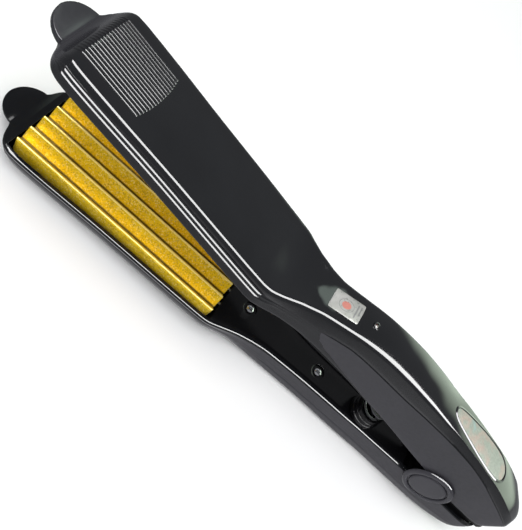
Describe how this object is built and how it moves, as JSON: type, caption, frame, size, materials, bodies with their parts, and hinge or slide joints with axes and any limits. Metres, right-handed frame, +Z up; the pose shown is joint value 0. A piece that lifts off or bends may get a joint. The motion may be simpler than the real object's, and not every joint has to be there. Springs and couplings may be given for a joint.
{
  "type": "hair crimper",
  "caption": "Hand-held hair crimper: two sprung arms on one hinge, closing interleaved corrugated heating plates, with a finger tab on each arm.",
  "frame": {"origin": "centre of the bounding box's base, with the crimper lying on its lower arm and open at the stop", "axes": "+X towards the finger tabs, +Z up, +Y completes a right-handed frame; the hinge axis runs along Y near the -X end"},
  "size_m": [0.2972, 0.0476, 0.076],
  "materials": {
    "gloss_black": "high gloss, moulded",
    "inner_black": "polished, moulded",
    "matte_black": "satin, heat resistant",
    "gold_plate": "gold ceramic coating with fine sparkle",
    "steel": "bright zinc",
    "white_ceramic": "unglazed",
    "mica": "layered insulating sheet",
    "wire_white": "glass-braid sleeving",
    "board_green": "solder mask",
    "lens_red": "clear tinted",
    "silver_film": "metallised film",
    "gland_rubber": "matt"
  },
  "bodies": {
    "lower_arm": {"lower_housing": "gloss_black", "lower_inner_cover": "inner_black", "lower_crimp_plate": "gold_plate", "lower_plate_frame": "matte_black", "lower_heater": "white_ceramic", "lower_heater_clip": "steel", "lower_mica_sheet": "mica", "lower_thermal_fuse": "silver_film", "lower_cover_screw_front": "steel", "lower_cover_screw_rear": "steel", "lower_lead_live": "wire_white", "lower_lead_neutral": "wire_white", "lower_hinge_block": "matte_black", "hinge_pin": "steel", "near_hinge_cap": "gloss_black", "far_hinge_cap": "gloss_black", "cord_gland": "gland_rubber", "terminal_block": "white_ceramic", "spring_cup": "inner_black", "return_spring": "steel"},
    "upper_arm": {"upper_housing": "gloss_black", "handle_badge_bezel": "gloss_black", "handle_badge": "silver_film", "warning_label": "silver_film", "pilot_lens": "lens_red", "pilot_led": "lens_red", "upper_inner_cover": "inner_black", "upper_crimp_plate": "gold_plate", "upper_plate_frame": "matte_black", "upper_heater": "white_ceramic", "upper_heater_clip": "steel", "upper_mica_sheet": "mica", "upper_thermal_fuse": "silver_film", "upper_cover_screw_front": "steel", "upper_cover_screw_rear": "steel", "upper_lead_live": "wire_white", "upper_lead_neutral": "wire_white", "upper_hinge_block": "matte_black", "spring_peg": "inner_black", "control_board": "board_green"}
  },
  "joints": [
    {"name": "arm_hinge", "type": "hinge", "parent": "lower_arm", "child": "upper_arm", "pos_m": [-0.10828, 0, 0.0244], "axis": [0, 1, 0], "range_deg": [0, 12.8], "stiffness_Nm_per_rad": 0.8, "springref_deg": -25.78, "deforming": ["return_spring"]}
  ]
}
